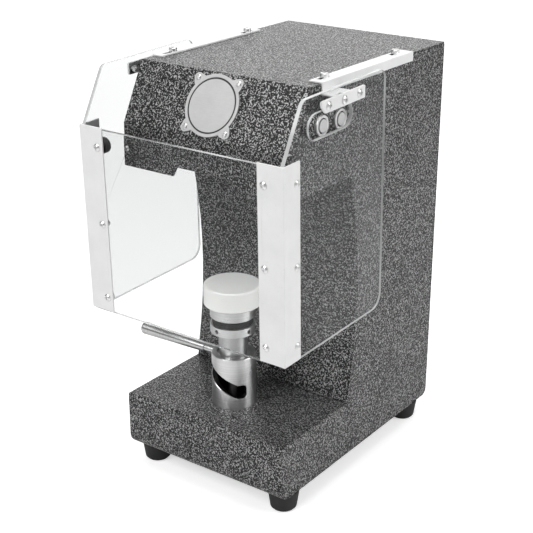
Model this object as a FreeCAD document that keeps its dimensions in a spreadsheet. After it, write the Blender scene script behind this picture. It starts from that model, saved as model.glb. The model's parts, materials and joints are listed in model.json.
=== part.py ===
import FreeCAD, Part
import Sketcher
import os
import math

# Bench-top beverage can seamer: C-shaped sheet steel body, hinged clear guard,
# cam-raised can platform below, motor-driven chuck and two seaming rollers above.
# Z is up, the front faces -Y, the floor is Z = 0, the origin is the centre of the
# footprint.  Lengths are in millimetres.

doc = FreeCAD.newDocument("can_seamer")
sheet = doc.addObject("Spreadsheet::Sheet", "Sheet")
V = FreeCAD.Vector

DIMS = [
    # overall body
    ("body_width", 255.0), ("body_depth", 371.6), ("body_top", 555.3), ("body_floor", 27.6),
    ("centre_shift", 168.3), ("skin", 2.0), ("seam", 0.4),
    ("base_top", 107.0), ("base_bend", 17.5), ("rear_bend", 10.0),
    ("head_front", 14.8), ("head_bottom", 426.5), ("kink_height", 482.4), ("slope_top", 52.8),
    ("throat_foot", 149.5), ("throat_head", 141.6), ("throat_radius", 639.0),
    ("notch_top", 439.0), ("notch_half_top", 40.4), ("notch_half_low", 47.2),
    # lift
    ("lift_depth", 70.1), ("sleeve_radius", 29.6), ("sleeve_bore", 22.0), ("sleeve_top", 179.5),
    ("flange_radius", 44.0), ("slot_width", 17.4), ("slot_drop", 3.0), ("slot_run", 136.4), ("dwell_low", 122.5), ("dwell_high", 141.8),
    ("dwell_end", 342.0), ("dwell_corner", 6.0), ("slot_low", 133.3), ("slot_high", 171.0),
    ("slot_start", 324.0), ("slot_sweep", 144.0),
    ("stem_radius", 8.0), ("fit_gap", 0.06), ("piston_radius", 21.93), ("piston_low", 150.0),
    ("piston_high", 177.0), ("plunger_radius", 18.9),
    ("ring_low", 211.4), ("ring_high", 222.7), ("ring_hole", 2.9),
    ("buffer_radius", 27.0), ("buffer_high", 232.2), ("hub_low", 232.6), ("hub_high", 249.6),
    ("platform_radius", 37.5), ("platform_top", 277.3), ("lip_width", 4.2), ("lip_height", 0.4), ("platform_round", 2.6),
    ("lever_neck", 5.25), ("lever_root_radius", 6.25), ("lever_tip_radius", 9.0),
    ("lever_root", 48.0), ("lever_tip", 158.0),
    # head works
    ("plate_low", 452.0), ("plate_high", 462.0), ("chuck_low", 431.0), ("chuck_radius", 26.4),
    ("spindle_radius", 8.5), ("bearing_radius", 17.5), ("roller_radius", 16.0),
    ("pivot_side", 60.0), ("pivot_depth", 126.0), ("roller_side", 48.0),
    ("cam_depth", 160.0), ("motor_depth", 255.0), ("motor_radius", 45.0),
    ("big_pulley", 30.0), ("small_pulley", 15.0), ("belt_low", 500.4), ("belt_height", 11.2),
    ("belt_thick", 3.5), ("belt_gap", 0.4),
    # rails and guard
    ("rail_front", 76.0), ("rail_back", 285.0), ("rail_inner", 110.0), ("rail_drop", 12.3),
    ("tab_front", 72.0), ("tab_back", 109.0), ("tab_leg", 94.0), ("tab_out", 146.0),
    ("pivot_y", 82.6), ("pivot_z", 539.5), ("guard_tilt", 1.4),
    ("guard_half", 152.5), ("guard_thick", 5.0), ("guard_face", 35.7), ("guard_low", 240.7),
    ("guard_high", 556.2), ("guard_back", 180.0), ("guard_shoulder", 487.0), ("guard_brow", 9.3),
    ("post_low", 242.6), ("post_high", 490.2), ("post_side_leg", 32.0), ("post_front_leg", 37.0),
    ("slot_window_front", 14.5), ("slot_window_back", 105.0), ("slot_window_mid", 519.5),
    ("slot_window_radius", 15.5),
    ("plate_front", 36.0), ("plate_back", 128.0), ("plate_thick", 3.0),
    ("pivot_pin", 4.0), ("pivot_play", 0.08),
    # control buttons
    ("button_one", 53.5), ("button_two", 91.8), ("button_high", 513.3), ("pod_face", 142.6),
    ("pod_front", 34.0), ("pod_back", 110.0), ("pod_radius", 14.0), ("bezel_radius", 12.25),
    ("cap_radius", 7.9),
    # feet
    ("foot_side", 107.7), ("foot_front", 33.8), ("foot_back", 337.8), ("foot_low_radius", 17.4),
    ("foot_high_radius", 21.1),
]


class Quantity:
    """A number together with the spreadsheet expression that yields it."""

    def __init__(self, value, text, bound):
        self.value, self.text, self.bound = float(value), text, bound

    def join(self, other, sign, value, swap=False):
        other = q(other)
        first, second = (other, self) if swap else (self, other)
        return Quantity(value, "(%s %s %s)" % (first.text, sign, second.text),
                        self.bound or other.bound)

    def __add__(self, o):
        return self.join(o, "+", self.value + q(o).value)

    def __radd__(self, o):
        return self.join(o, "+", self.value + q(o).value, True)

    def __sub__(self, o):
        return self.join(o, "-", self.value - q(o).value)

    def __rsub__(self, o):
        return self.join(o, "-", q(o).value - self.value, True)

    def __mul__(self, o):
        return self.join(o, "*", self.value * q(o).value)

    def __rmul__(self, o):
        return self.join(o, "*", self.value * q(o).value, True)

    def __truediv__(self, o):
        return self.join(o, "/", self.value / q(o).value)

    def __neg__(self):
        return self.join(-1, "*", -self.value)


def q(v):
    return v if isinstance(v, Quantity) else Quantity(v, "(%r)" % float(v), False)


class Cells:
    pass


S = Cells()
for row, (alias, number) in enumerate(DIMS, 1):
    sheet.set("A%d" % row, alias)
    sheet.set("B%d" % row, repr(number))
    sheet.setAlias("B%d" % row, alias)
    setattr(S, alias, Quantity(number, "Sheet.%s" % alias, True))
doc.recompute()

S.side = S.body_width / 2
S.inset = S.skin + S.seam


def bind(obj, prop, v):
    v = q(v)
    if v.bound:
        obj.setExpression(prop, v.text)
    elif "." not in prop and "[" not in prop:
        setattr(obj, prop, v.value)


def place(obj, x=0, y=0, z=0, axis=None, angle=0):
    """Puts an object at x, y, z measured in the body frame (front base face at y = 0)."""
    x, y, z = q(x), q(y) - S.centre_shift, q(z)
    rot = FreeCAD.Rotation(V(*axis), q(angle).value) if axis else FreeCAD.Rotation()
    obj.Placement = FreeCAD.Placement(V(x.value, y.value, z.value), rot)
    for name, v in (("x", x), ("y", y), ("z", z)):
        if v.bound:
            obj.setExpression("Placement.Base." + name, v.text)


NODES = []


def node(obj, label):
    obj.Label = label
    NODES.append(obj)
    return obj


def body(label):
    return node(doc.addObject("PartDesign::Body", "Body_" + label), label)


def plane(b, role):
    return [f for f in b.Origin.OriginFeatures if f.Role == role][0]


def sketch(b, role, loops, circles=(), offset=0):
    """Closed loops of vertices (x, y) or (x, y, radius): a radius bends the edge that leaves
    the vertex, positive to the left of travel, negative to the right."""
    sk = b.newObject("Sketcher::SketchObject", "Sketch")
    sk.AttachmentSupport = (plane(b, role), [""])
    sk.MapMode = "FlatFace"
    offset = q(offset)
    if offset.value:
        sk.AttachmentOffset = FreeCAD.Placement(V(0, 0, offset.value), FreeCAD.Rotation())
        if offset.bound:
            sk.setExpression("AttachmentOffset.Base.z", offset.text)

    def fix(geo, point, x, y):
        for kind, v in (("DistanceX", q(x)), ("DistanceY", q(y))):
            n = sk.addConstraint(Sketcher.Constraint(kind, -1, 1, geo, point, v.value))
            if v.bound:
                sk.setExpression("Constraints[%d]" % n, v.text)

    for loop in loops:
        ends = []
        for i, a in enumerate(loop):
            c = loop[(i + 1) % len(loop)]
            ax, ay, cx, cy = (q(t).value for t in (a[0], a[1], c[0], c[1]))
            if len(a) == 2:
                g = sk.addGeometry(Part.LineSegment(V(ax, ay, 0), V(cx, cy, 0)), False)
                ends.append((g, 1, 2))
                continue
            r = q(a[2]).value
            dx, dy = cx - ax, cy - ay
            d = math.hypot(dx, dy)
            lift = math.sqrt(max(r * r - d * d / 4, 0)) * (1 if r > 0 else -1)
            ox, oy = (ax + cx) / 2 - dy / d * lift, (ay + cy) / 2 + dx / d * lift
            a1, a2 = math.atan2(ay - oy, ax - ox), math.atan2(cy - oy, cx - ox)
            circle = Part.Circle(V(ox, oy, 0), V(0, 0, 1), abs(r))
            if r > 0:
                g = sk.addGeometry(Part.ArcOfCircle(circle, a1, a2), False)
                ends.append((g, 1, 2))
            else:
                g = sk.addGeometry(Part.ArcOfCircle(circle, a2, a1), False)
                ends.append((g, 2, 1))
        for i, (g, first, last) in enumerate(ends):
            g2, f2, _ = ends[(i + 1) % len(ends)]
            sk.addConstraint(Sketcher.Constraint("Coincident", g, last, g2, f2))
        for (g, first, last), a in zip(ends, loop):
            fix(g, first, a[0], a[1])
            if len(a) == 3:
                c = loop[(loop.index(a) + 1) % len(loop)]
                dx, dy = q(c[0]) - a[0], q(c[1]) - a[1]
                if abs(q(a[2]).value) < 0.51 * math.hypot(dx.value, dy.value):
                    # a half circle: its centre is the middle of the chord
                    kind, v = ("DistanceX", (q(c[0]) + a[0]) / 2) if abs(dy.value) > abs(dx.value) else \
                              ("DistanceY", (q(c[1]) + a[1]) / 2)
                    n = sk.addConstraint(Sketcher.Constraint(kind, -1, 1, g, 3, v.value))
                    if v.bound:
                        sk.setExpression("Constraints[%d]" % n, v.text)
                    continue
                n = sk.addConstraint(Sketcher.Constraint("Radius", g, abs(q(a[2]).value)))
                if q(a[2]).bound:
                    sk.setExpression("Constraints[%d]" % n, "abs(%s)" % q(a[2]).text)
    for x, y, r in circles:
        g = sk.addGeometry(Part.Circle(V(q(x).value, q(y).value, 0), V(0, 0, 1), q(r).value), False)
        fix(g, 3, x, y)
        n = sk.addConstraint(Sketcher.Constraint("Radius", g, q(r).value))
        if q(r).bound:
            sk.setExpression("Constraints[%d]" % n, q(r).text)
    return sk


def pad(b, sk, length, mid=True):
    p = b.newObject("PartDesign::Pad", "Pad")
    p.Profile = sk
    bind(p, "Length", length)
    p.Length = q(length).value
    if mid:
        p.SideType = 2
    return p


def pocket(b, sk, length):
    """Cuts the sketch symmetrically about its plane, the given total depth."""
    doc.recompute()
    before = b.Shape.Volume
    p = b.newObject("PartDesign::Pocket", "Pocket")
    p.Profile = sk
    p.Length = q(length).value
    bind(p, "Length", length)
    p.SideType = 2
    doc.recompute()
    if b.Shape.Volume > before - 0.05:
        raise SystemExit("pocket cuts nothing in " + b.Label)
    return p


def turn(label, loop, x=0, y=0, z=0, axis=None, angle=0):
    """A lathe part: loop of (radius, height) about its own Z."""
    b = body(label)
    sk = sketch(b, "XZ_Plane", [loop])
    r = b.newObject("PartDesign::Revolution", "Revolution")
    r.Profile = sk
    r.ReferenceAxis = (sk, ["V_Axis"])
    r.Angle = 360
    place(b, x, y, z, axis, angle)
    return b


def rounded(b, feature, radius, test):
    """Rounds the edges of a feature that pass the test on (start, end) points."""
    doc.recompute()
    names = []
    for i, e in enumerate(feature.Shape.Edges, 1):
        pts = [v.Point for v in e.Vertexes]
        if len(pts) == 2 and test(pts[0], pts[1], e):
            names.append("Edge%d" % i)
    if not names:
        raise SystemExit("no edge to round in " + b.Label)
    f = b.newObject("PartDesign::Fillet", "Fillet")
    f.Base = (feature, names)
    f.Radius = radius
    doc.recompute()
    return f


def box(x0, y0, z0, x1, y1, z1):
    o = doc.addObject("Part::Box", "Block")
    x0, y0, z0, x1, y1, z1 = (q(t) for t in (x0, y0, z0, x1, y1, z1))
    bind(o, "Length", x1 - x0)
    bind(o, "Width", y1 - y0)
    bind(o, "Height", z1 - z0)
    o.Length, o.Width, o.Height = x1.value - x0.value, y1.value - y0.value, z1.value - z0.value
    o.Placement = FreeCAD.Placement(V(x0.value, y0.value, z0.value), FreeCAD.Rotation())
    for name, v in (("x", x0), ("y", y0), ("z", z0)):
        if v.bound:
            o.setExpression("Placement.Base." + name, v.text)
    return o


TURNS = {"z": FreeCAD.Rotation(), "x": FreeCAD.Rotation(V(0, 1, 0), 90),
         "y": FreeCAD.Rotation(V(1, 0, 0), -90)}


def rod(x, y, z, r, length, axis="z"):
    """A cylinder from x, y, z along +axis."""
    o = doc.addObject("Part::Cylinder", "Rod")
    o.Radius, o.Height = q(r).value, q(length).value
    bind(o, "Radius", r)
    bind(o, "Height", length)
    x, y, z = q(x), q(y), q(z)
    o.Placement = FreeCAD.Placement(V(x.value, y.value, z.value), TURNS[axis])
    for name, v in (("x", x), ("y", y), ("z", z)):
        if v.bound:
            o.setExpression("Placement.Base." + name, v.text)
    return o


def fused(*parts):
    o = doc.addObject("Part::MultiFuse", "Fusion")
    o.Shapes = list(parts)
    return o


def cut(base, *tools):
    o = doc.addObject("Part::Cut", "Cut")
    o.Base = base
    o.Tool = tools[0] if len(tools) == 1 else fused(*tools)
    return o


def group(*parts):
    o = doc.addObject("Part::Compound", "Group")
    o.Links = list(parts)
    return o


def shape_node(label, shape):
    o = node(doc.addObject("Part::Feature", "Feature_" + label), label)
    o.Shape = Part.makeCompound(shape.Solids)
    o.Placement = FreeCAD.Placement(V(0, -S.centre_shift.value, 0), FreeCAD.Rotation())
    o.setExpression("Placement.Base.y", "-Sheet.centre_shift")
    return o


def guard_place(obj):
    """Guard pieces are drawn about the hinge axis and hang at the closed tilt."""
    place(obj, 0, S.pivot_y, S.pivot_z, (1, 0, 0), S.guard_tilt)


# ---------------------------------------------------------------- casing
i = S.inset
for label, sign in (("side_panel_left", -1), ("side_panel_right", 1)):
    b = body(label)
    loop = [
        (i, S.body_floor + S.base_bend),
        (i, S.base_top - i),
        (S.throat_foot, S.base_top - i, S.throat_radius),
        (S.throat_head, S.head_bottom),
        (S.head_front + i, S.head_bottom),
        (S.head_front + i, S.kink_height - 0.59),
        (S.slope_top + 1.45, S.body_top - i),
        (S.body_depth - i, S.body_top - i),
        (S.body_depth - i, S.body_floor + S.rear_bend, -(S.rear_bend - i)),
        (S.body_depth - S.rear_bend, S.body_floor + i),
        (S.base_bend, S.body_floor + i, -(S.base_bend - i)),
    ]
    holes = []
    if sign > 0:
        holes += [(S.button_one, S.button_high, 10.2), (S.button_two, S.button_high, 10.2)]
    pad(b, sketch(b, "YZ_Plane", [loop], holes), S.skin)
    place(b, sign * (S.side - S.skin / 2), 0, 0)

b = body("head_cover")
t = S.skin
loop = [
    (S.head_front, S.head_bottom), (S.head_front + t, S.head_bottom),
    (S.head_front + t, S.kink_height - 0.48), (S.slope_top + 1.21, S.body_top - t),
    (S.body_depth, S.body_top - t), (S.body_depth, S.body_top),
    (S.slope_top, S.body_top), (S.head_front, S.kink_height),
]
first = pad(b, sketch(b, "YZ_Plane", [loop]), S.body_width)
notch = [(-S.notch_half_low, S.head_bottom), (S.notch_half_low, S.head_bottom),
         (S.notch_half_top, S.notch_top), (-S.notch_half_top, S.notch_top)]
pocket(b, sketch(b, "XZ_Plane", [notch]), 60)
pocket(b, sketch(b, "XZ_Plane", [], [(sx * 122.4, 449.4, 2.1) for sx in (-1, 1)]), 60)
rail_screws = [(-119.5, 104.5), (-119.5, 262.0), (116.0, 99.5), (116.0, 262.0)]
holes = [(x, y, 2.6) for x, y in rail_screws]
last = pocket(b, sketch(b, "XY_Plane", [], holes, offset=S.body_top), 12)
rounded(b, last, 2.2, lambda p, r, e: abs(p.x - r.x) > 200 and (
    (abs(p.y - 14.8) < 0.1 and abs(p.z - 482.4) < 0.1) or (abs(p.y - 52.8) < 0.1 and abs(p.z - 555.3) < 0.1)))
place(b)

b = body("throat_liner")
loop = [
    (S.throat_foot + 0.2, S.base_top + 0.2, S.throat_radius),
    (S.throat_head, S.head_bottom),
    (S.throat_head, S.head_bottom + 4),
    (S.throat_head + t, S.head_bottom + 4),
    (S.throat_head + t, S.head_bottom, -(S.throat_radius + t)),
    (S.throat_foot + t + 0.2, S.base_top + 0.2),
]
pad(b, sketch(b, "YZ_Plane", [loop]), S.body_width - 2 * S.skin - 0.6)
place(b)

b = body("base_cover")
loop = [
    (S.base_bend + 0.5, S.body_floor), (S.base_bend, S.body_floor, -S.base_bend),
    (0, S.body_floor + S.base_bend), (0, S.base_top), (S.throat_foot - 0.4, S.base_top),
    (S.throat_foot - 0.4, S.base_top - t), (t, S.base_top - t),
    (t, S.body_floor + S.base_bend, S.base_bend - t),
    (S.base_bend, S.body_floor + t), (S.base_bend + 0.5, S.body_floor + t),
]
first = pad(b, sketch(b, "YZ_Plane", [loop]), S.body_width)
last = pocket(b, sketch(b, "XY_Plane", [], [(0, S.lift_depth, S.sleeve_radius + 0.4)], offset=S.base_top), 12)
rounded(b, last, 2.2, lambda p, r, e: abs(p.x - r.x) > 200 and abs(p.y) < 0.1 and abs(p.z - 107) < 0.1)
place(b)

b = body("rear_panel")
outline = [(-S.side, S.body_floor + S.rear_bend + 0.3), (S.side, S.body_floor + S.rear_bend + 0.3),
           (S.side, S.body_top - i), (-S.side, S.body_top - i)]
vents = []
for column in (-1, 1):
    for k in range(9):
        x0, z0 = column * 62.0 - 32.0, 330.0 + 14.0 * k
        vents.append([(x0, z0), (x0 + 64.0, z0, 2.5), (x0 + 64.0, z0 + 5.0), (x0, z0 + 5.0, 2.5)])
inlet = [(46.2, 70.2), (73.8, 70.2), (73.8, 89.8), (46.2, 89.8)]
switch = [(-51.7, 69.0), (-38.3, 69.0), (-38.3, 91.0), (-51.7, 91.0)]
screw_spots = [(sx * 118.0, z) for sx in (-1, 1) for z in (60.0, 295.0, 530.0)]
sk = sketch(b, "XZ_Plane", [outline, inlet, switch] + vents, [(x, z, 2.6) for x, z in screw_spots])
pad(b, sk, S.skin)
place(b, 0, S.body_depth - S.skin / 2, 0)

b = body("base_plate")
loop = [
    (S.base_bend + 0.9, S.body_floor),
    (S.body_depth - S.rear_bend, S.body_floor, S.rear_bend),
    (S.body_depth, S.body_floor + S.rear_bend),
    (S.body_depth - t, S.body_floor + S.rear_bend, -(S.rear_bend - t)),
    (S.body_depth - S.rear_bend, S.body_floor + t),
    (S.base_bend + 0.9, S.body_floor + t),
]
pad(b, sketch(b, "YZ_Plane", [loop]), S.body_width)
place(b)

# ---------------------------------------------------------------- inner structure
b = body("head_plate")
loop = [(-119, 24), (119, 24), (119, 330), (-119, 330)]
sk = sketch(b, "XY_Plane", [loop], [(0, S.lift_depth, S.bearing_radius + 1), (0, S.motor_depth, 20.0),
                                     (0, S.cam_depth, 7.0)])
pad(b, sk, S.plate_high - S.plate_low)
place(b, 0, 0, (S.plate_low + S.plate_high) / 2)

posts = []
for s in (-1, 1):
    web = box(min(s * 116, s * 119), 190, S.body_floor + S.skin, max(s * 116, s * 119), 330, S.plate_low)
    front = box(min(s * 104, s * 116), 190, S.body_floor + S.skin, max(s * 104, s * 116), 193, S.plate_low)
    rear = box(min(s * 104, s * 116), 327, S.body_floor + S.skin, max(s * 104, s * 116), 330, S.plate_low)
    posts.append(fused(web, front, rear))
place(node(group(*posts), "frame_uprights"))

# four tapered rubber feet with a countersunk screw well
foot = Part.makePolygon([V(5, 0, 0), V(14.4, 0, 0), V(S.foot_low_radius.value, 0, 3.2),
                         V(S.foot_high_radius.value, 0, 27.6), V(0, 0, 27.6), V(0, 0, 9), V(5, 0, 9), V(5, 0, 0)])
foot = Part.Face(foot).revolve(V(0, 0, 0), V(0, 0, 1), 360)
edges = [e for e in foot.Edges if len(e.Vertexes) == 1 and e.Vertexes[0].Z < 3.3 and e.Curve.Radius > 14]
foot = foot.makeFillet(1.6, edges)
feet = []
for s in (-1, 1):
    for y in (S.foot_front.value, S.foot_back.value):
        f = foot.copy()
        f.translate(V(s * S.foot_side.value, y, 0))
        feet.append(f)
shape_node("rubber_feet", Part.makeCompound(feet))

# ---------------------------------------------------------------- lift
sr = S.sleeve_radius
tube = Part.makeCylinder(sr.value, S.sleeve_top.value - 97, V(0, 0, 97))
tube = tube.makeChamfer(0.6, [e for e in tube.Edges if e.BoundBox.ZMin > S.sleeve_top.value - 0.01])
tube = tube.fuse(Part.makeCylinder(S.flange_radius.value, 8, V(0, 0, 97)))
tube = tube.cut(Part.makeCylinder(S.sleeve_bore.value, 200, V(0, 0, 105)))
tube = tube.cut(Part.makeCylinder(S.stem_radius.value + S.fit_gap.value, 20, V(0, 0, 90)))
tube = tube.cut(Part.makeBox(4.3, 6, 20, V(-2.15, 6, 90)))
slope = (S.slot_high.value - S.slot_low.value) / S.slot_sweep.value
pitch = slope * 360.0
rise = slope * S.slot_run.value
tilt = math.atan(math.degrees(slope) / sr.value)
half = S.slot_width.value / 2 / math.cos(tilt)
high_end = S.slot_start.value - S.slot_sweep.value
low_end = high_end + S.slot_run.value
high_at = S.slot_high.value - S.slot_drop.value
low_at = high_at - rise
helix = Part.makeHelix(pitch, rise, sr.value, 0, True)
profile = Part.makePolygon([V(17, 0, -half), V(36, 0, -half), V(36, 0, half), V(17, 0, half), V(17, 0, -half)])
sweep = Part.BRepOffsetAPI.MakePipeShell(Part.Wire(helix.Edges))
sweep.setBiNormalMode(V(0, 0, 1))
sweep.add(profile)
sweep.build()
sweep.makeSolid()
slot = sweep.shape()
slot.rotate(V(0, 0, 0), V(0, 0, 1), low_end)
slot.translate(V(0, 0, low_at))
ends = []
for ang, z in ((low_end, low_at), (high_end, high_at)):
    a = math.radians(ang)
    ends.append(Part.makeCylinder(S.slot_width.value / 2, 24, V(14 * math.cos(a), 14 * math.sin(a), z),
                                  V(math.cos(a), math.sin(a), 0)))
# the level run at the foot of the slot, with rounded corners
dc, dl, dh, de = S.dwell_corner.value, S.dwell_low.value, S.dwell_high.value, S.dwell_end.value
turn_in = math.degrees(dc / sr.value)
for z0, z1, a1 in ((dl, dh, de - turn_in), (dl + dc, dh - dc, de)):
    flat = Part.Face(Part.makePolygon([V(17, 0, z0), V(36, 0, z0), V(36, 0, z1), V(17, 0, z1), V(17, 0, z0)]))
    block = flat.revolve(V(0, 0, 0), V(0, 0, 1), a1 - low_end + 1.0)
    block.rotate(V(0, 0, 0), V(0, 0, 1), low_end - 1.0)
    ends.append(block)
a = math.radians(de - turn_in)
for z in (dl + dc, dh - dc):
    ends.append(Part.makeCylinder(dc, 24, V(14 * math.cos(a), 14 * math.sin(a), z), V(math.cos(a), math.sin(a), 0)))
sleeve = tube.cut(slot)
for e in ends:
    sleeve = sleeve.cut(e)
sleeve.translate(V(0, S.lift_depth.value, 0))
shape_node("cam_sleeve", sleeve)

lz = S.body_floor + S.skin
turn("lift_pedestal", [(34, lz), (46, lz), (46, lz + 5), (40, lz + 5), (40, 97), (34, 97)], 0, S.lift_depth, 0)

sg = S.stem_radius + S.fit_gap
stem = fused(rod(0, 0, 64, S.stem_radius, 186), rod(0, 0, S.hub_high + 0.4, 11, 3.6), rod(0, 0, 248, S.stem_radius, 6),
             box(-2, 5, 64, 2, 10.9, 148))
place(node(stem, "lift_stem"), 0, S.lift_depth, 0)

low = turn("thrust_bearing", [(sg + 0.4, S.hub_low), (19, S.hub_low), (19, S.hub_low + 2.6), (14.8, S.hub_low + 2.6),
                              (14.8, S.hub_low + 6.4), (19, S.hub_low + 6.4), (19, S.hub_low + 9),
                              (sg + 0.4, S.hub_low + 9)], 0, S.lift_depth, 0)

b = turn("plunger", [(sg, S.piston_low), (S.piston_radius, S.piston_low), (S.piston_radius, S.piston_high),
                     (S.plunger_radius, S.piston_high), (S.plunger_radius, S.ring_low),
                     (16.0, S.ring_low), (16.0, S.buffer_high - 4), (sg, S.buffer_high - 4)], 0, S.lift_depth, 0)
pocket(b, sketch(b, "YZ_Plane", [], [(0, S.slot_high, S.lever_neck)], offset=-15.5), 14)

ring = cut(rod(0, 0, S.ring_low, sr, S.ring_high - S.ring_low), rod(0, 0, 200, 16.0, 40),
           *[rod(sr * math.cos(math.radians(a)) * 1.02, sr * math.sin(math.radians(a)) * 1.02,
                 (S.ring_low + S.ring_high) / 2, S.ring_hole, 11) for a in (83, 173, 263, 353)])
for tool, a in zip(ring.Tool.Shapes[1:], (83, 173, 263, 353)):
    tool.Placement = FreeCAD.Placement(tool.Placement.Base, FreeCAD.Rotation(V(0, 0, 1), V(
        -math.cos(math.radians(a)), -math.sin(math.radians(a)), 0)))
place(node(ring, "adjusting_ring"), 0, S.lift_depth, 0)

turn("rubber_buffer", [(16.0, S.ring_high), (S.buffer_radius - 0.8, S.ring_high),
                       (S.buffer_radius, S.ring_high + 1.2), (S.buffer_radius, S.buffer_high - 1.2),
                       (S.buffer_radius - 0.8, S.buffer_high), (16.0, S.buffer_high)], 0, S.lift_depth, 0)

turn("platform_hub", [(sg, S.hub_low + 9.4), (19.4, S.hub_low + 9.4), (19.4, S.hub_low), (sr - 0.8, S.hub_low),
                      (sr, S.hub_low + 0.8), (sr, S.hub_high - 0.6), (sr - 0.6, S.hub_high), (sg, S.hub_high)],
     0, S.lift_depth, 0)

pr, pt = S.platform_radius, S.platform_top
turn("can_platform", [(12, S.hub_high), (pr - 1.2, S.hub_high), (pr, S.hub_high + 1.2), (pr, pt - S.platform_round, S.platform_round),
                      (pr - S.platform_round, pt), (pr - S.lip_width, pt), (pr - S.lip_width - 0.6, pt - S.lip_height),
                      (0, pt - S.lip_height), (0, S.hub_high + 6), (12, S.hub_high + 6)], 0, S.lift_depth, 0)

# lever: neck through the cam slot, tapered round grip, drawn along its own Z and laid toward -X
b = turn("lever_handle", [(0, 9.0), (S.lever_neck, 9.0), (S.lever_neck, 46.4), (S.lever_neck - 0.9, 46.8),
                          (S.lever_neck - 0.9, 47.8), (S.lever_root_radius - 0.4, 48.3), (S.lever_root_radius, 49),
                          (S.lever_tip_radius, S.lever_tip - 4.5, 4.5), (S.lever_tip_radius - 4.5, S.lever_tip),
                          (0, S.lever_tip)],
         0, S.lift_depth, S.slot_high, (0, 1, 0), -90)

# ---------------------------------------------------------------- head works
hz, sp = S.plate_high, S.spindle_radius
turn("spindle_housing", [(S.bearing_radius, hz), (36, hz), (36, hz + 6), (26, hz + 6), (24, hz + 10), (24, hz + 33),
                         (S.bearing_radius, hz + 33)], 0, S.lift_depth, 0)
races = []
for z in (3.0, 20.0):
    races.append(cut(rod(0, 0, hz + z, S.bearing_radius, 10), rod(0, 0, hz + z - 1, sp + S.fit_gap, 12)))
place(node(group(*races), "spindle_bearings"), 0, S.lift_depth, 0)
b = turn("spindle", [(0, 441), (sp, 441), (sp, 518), (sp - 1, 519), (0, 519)], 0, S.lift_depth, 0)
cr, cl = S.chuck_radius, S.chuck_low
turn("seaming_chuck", [(0, cl + 2.5), (16, cl + 2.5), (18, cl), (cr - 1.4, cl), (cr, cl + 3.6), (cr, cl + 6.2),
                       (24, cl + 7.2), (22, cl + 8.5), (22, cl + 17), (sp, cl + 17), (sp, 441), (0, 441)],
     0, S.lift_depth, 0)
for label, r, bore, y in (("driven_pulley", S.big_pulley, sp, S.lift_depth), ("motor_pulley", S.small_pulley, q(7.0), S.motor_depth)):
    turn(label, [(bore, 497), (r + 3, 497), (r + 3, 499.8), (r, 500), (r, 512), (r + 3, 512.2), (r + 3, 515), (bore, 515)], 0, y, 0)


def belt_wire(grow, z):
    big, small = S.big_pulley.value + grow, S.small_pulley.value + grow
    y1, y2 = S.lift_depth.value, S.motor_depth.value
    f = math.asin((big - small) / (y2 - y1))
    c, s = math.cos(f), math.sin(f)
    a, d = V(big * c, y1 + big * s, z), V(-big * c, y1 + big * s, z)
    m, n = V(small * c, y2 + small * s, z), V(-small * c, y2 + small * s, z)
    return Part.Wire([Part.LineSegment(a, m).toShape(), Part.Arc(m, V(0, y2 + small, z), n).toShape(),
                      Part.LineSegment(n, d).toShape(), Part.Arc(d, V(0, y1 - big, z), a).toShape()])


z = S.belt_low.value
g = S.belt_gap.value
outer = Part.Face(belt_wire(g + S.belt_thick.value, z)).extrude(V(0, 0, S.belt_height.value))
inner = Part.Face(belt_wire(g, z)).extrude(V(0, 0, S.belt_height.value))
shape_node("drive_belt", outer.cut(inner))

mr = S.motor_radius
motor = fused(rod(0, 0, 332, mr - 3, 14), rod(0, 0, 346, mr, 90), rod(0, 0, 436, mr - 2, 16),
              box(-22, 40, 350, 22, 54, 410))
motor = cut(motor, rod(0, 0, 425, 11, 30))
place(node(motor, "drive_motor"), 0, S.motor_depth, 0)
turn("motor_shaft", [(0, 427), (7, 427), (7, 518), (0, 518)], 0, S.motor_depth, 0)

for label, s in (("first_seaming_arm", -1), ("second_seaming_arm", 1)):
    b = body(label)
    # plan outline about the pivot: roller end forward, cam follower tail inward
    loop = [(-s * 4.0, -64.0), (-s * 20.0, -64.0), (-s * 20.5, -48.0), (-s * 11.5, -10.0), (-s * 12.0, 6.0),
            (-s * 33.0, 26.0), (-s * 30.0, 33.0), (-s * 2.0, 13.0), (s * 11.0, 8.0), (s * 11.5, -8.0)]
    pad(b, sketch(b, "XY_Plane", [loop], [(0, 0, S.stem_radius + S.fit_gap)]), 7)
    pin = sketch(b, "XY_Plane", [], [(-s * (S.pivot_side - S.roller_side), S.lift_depth - S.pivot_depth, 4.0)], offset=-8.85)
    pad(b, pin, 10.7)
    head = sketch(b, "XY_Plane", [], [(-s * (S.pivot_side - S.roller_side), S.lift_depth - S.pivot_depth, 6.0)], offset=-14.4)
    pad(b, head, 0.8)
    place(b, s * S.pivot_side, S.pivot_depth, 441.5)
for label, s in (("first_seaming_roller", -1), ("second_seaming_roller", 1)):
    rr = S.roller_radius
    g = S.fit_gap + 4.0
    turn(label, [(g, 427.9), (rr - 1, 427.9), (rr, 428.9), (rr, 431.4), (rr - 1.6, 432.4), (rr - 1.6, 433.8), (rr, 435.0),
                 (rr, 436.7), (rr - 1, 437.5), (g, 437.5)], s * S.roller_side, S.lift_depth, 0)
pv = []
for s in (-1, 1):
    pv.append(fused(rod(s * S.pivot_side, S.pivot_depth, 433, S.stem_radius, S.plate_low - 433),
                    rod(s * S.pivot_side, S.pivot_depth, 432, 11, 5.5)))
place(node(group(*pv), "arm_pivots"))

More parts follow.
